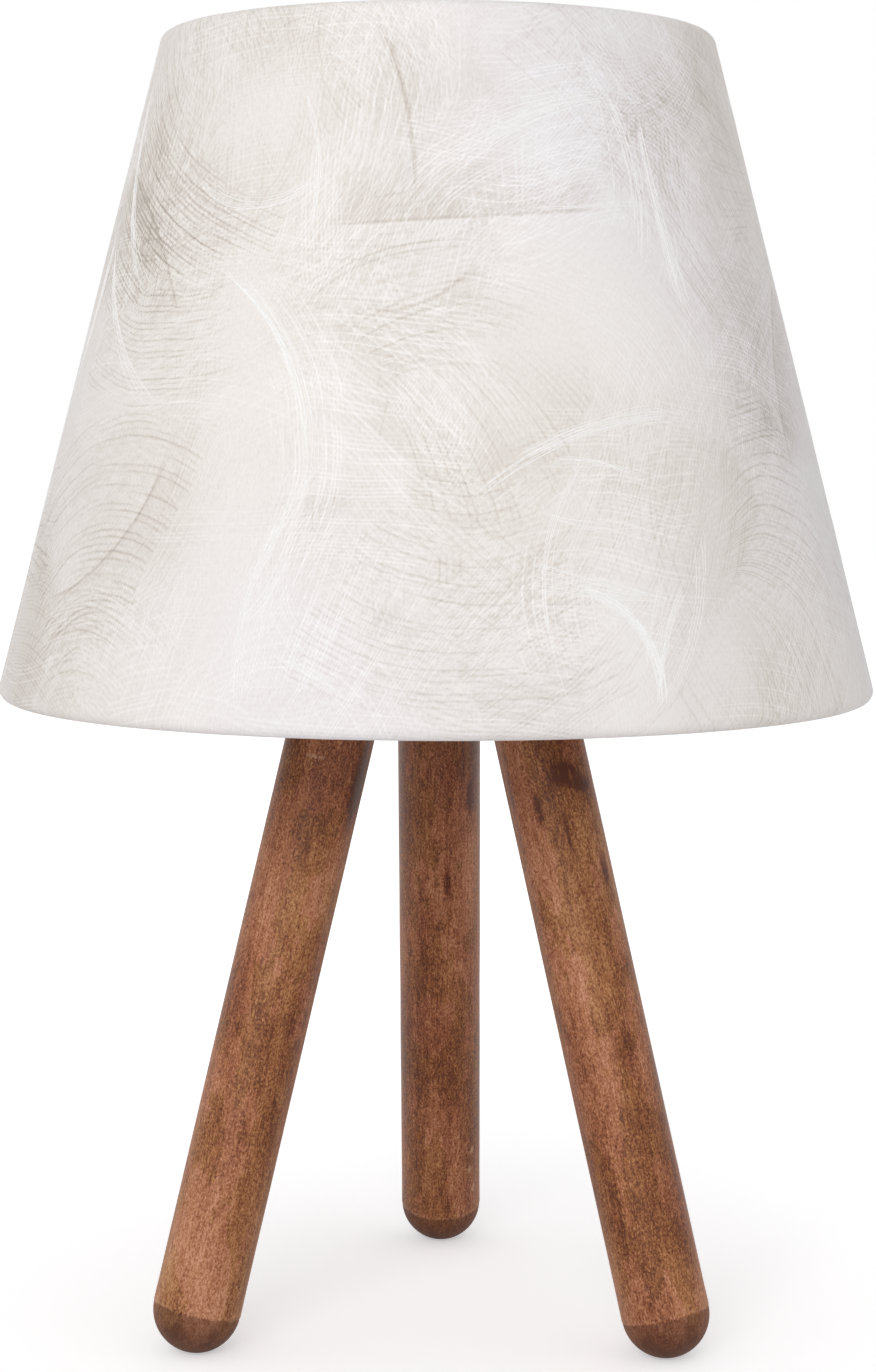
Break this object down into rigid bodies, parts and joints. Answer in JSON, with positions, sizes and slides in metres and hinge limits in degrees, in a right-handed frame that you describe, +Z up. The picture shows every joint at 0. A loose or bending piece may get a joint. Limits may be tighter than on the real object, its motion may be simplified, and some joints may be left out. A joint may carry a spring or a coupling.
{
  "type": "table lamp",
  "caption": "Table lamp with a conical cloth shade on a tripod of round wooden legs. The shade turns and the bulb screws out.",
  "frame": {"origin": "on the table, under the middle of the shade and the tripod", "axes": "+Z up along the lamp's middle axis, +Y towards the back leg, +X to the right seen from the front"},
  "size_m": [0.22, 0.22, 0.325],
  "materials": {
    "leg_wood": "walnut-stained dowel, satin",
    "hub_wood": "walnut-stained, turned, satin",
    "zinc_steel": "zinc plated",
    "brass": "bare brass",
    "porcelain": "unglazed",
    "holder_plastic": "moulded, soft gloss",
    "bush_plastic": "moulded, matt",
    "shade_cloth": "pearly off-white cloth with fine combed threads",
    "shade_lining": "smooth stiff sheet, matt",
    "tape": "cloth tape",
    "white_enamel": "white enamel on steel wire",
    "bulb_plastic": "moulded, soft gloss",
    "opal": "frosted opal",
    "nickel": "nickel plated",
    "black_glass": "moulded, glossy",
    "solder": "dull solder",
    "board_white": "white coated",
    "board_green": "coated board"
  },
  "bodies": {
    "base": {"leg_left": "leg_wood", "leg_right": "leg_wood", "leg_back": "leg_wood", "hub": "hub_wood", "leg_screws": "zinc_steel", "threaded_tube": "zinc_steel", "tube_washer": "zinc_steel", "tube_nut": "zinc_steel", "top_washer": "zinc_steel", "cord_bush": "bush_plastic", "holder_cap": "holder_plastic", "holder_sleeve": "holder_plastic", "holder_insert": "porcelain", "screw_shell": "brass", "centre_contact": "brass", "contact_rivets": "brass", "terminal_blocks": "brass", "terminal_screws": "zinc_steel", "lock_screw": "zinc_steel"},
    "shade": {"shade_cloth": "shade_cloth", "shade_lining": "shade_lining", "top_wire": "white_enamel", "bottom_wire": "white_enamel", "seam_tape": "tape", "fitter_ring": "white_enamel", "fitter_arms": "white_enamel"},
    "ring": {"retaining_ring": "holder_plastic"},
    "bulb_tip": {"bulb_contact": "solder"},
    "bulb": {"bulb_insulator": "black_glass", "bulb_cap": "nickel", "bulb_body": "bulb_plastic", "bulb_globe": "opal", "led_board": "board_white", "driver_board": "board_green"}
  },
  "joints": [
    {"name": "shade_turn", "type": "hinge", "parent": "base", "child": "shade", "pos_m": [0, 0, 0.218], "axis": [0, 0, 1], "continuous": true},
    {"name": "retaining_ring_rise", "type": "slide", "parent": "base", "child": "ring", "axis": [0, 0, 1], "range_m": [0, 0.01]},
    {"name": "bulb_rise", "type": "slide", "parent": "base", "child": "bulb_tip", "axis": [0, 0, 1], "range_m": [0, 0.0142]},
    {"name": "bulb_unscrew", "type": "hinge", "parent": "bulb_tip", "child": "bulb", "pos_m": [0, 0, 0.214], "axis": [0, 0, 1], "range_deg": [0, 1800]}
  ],
  "couplings": [
    {"joint": "bulb_rise", "follows": "bulb_unscrew", "m_per_rad": 0.00044882}
  ]
}
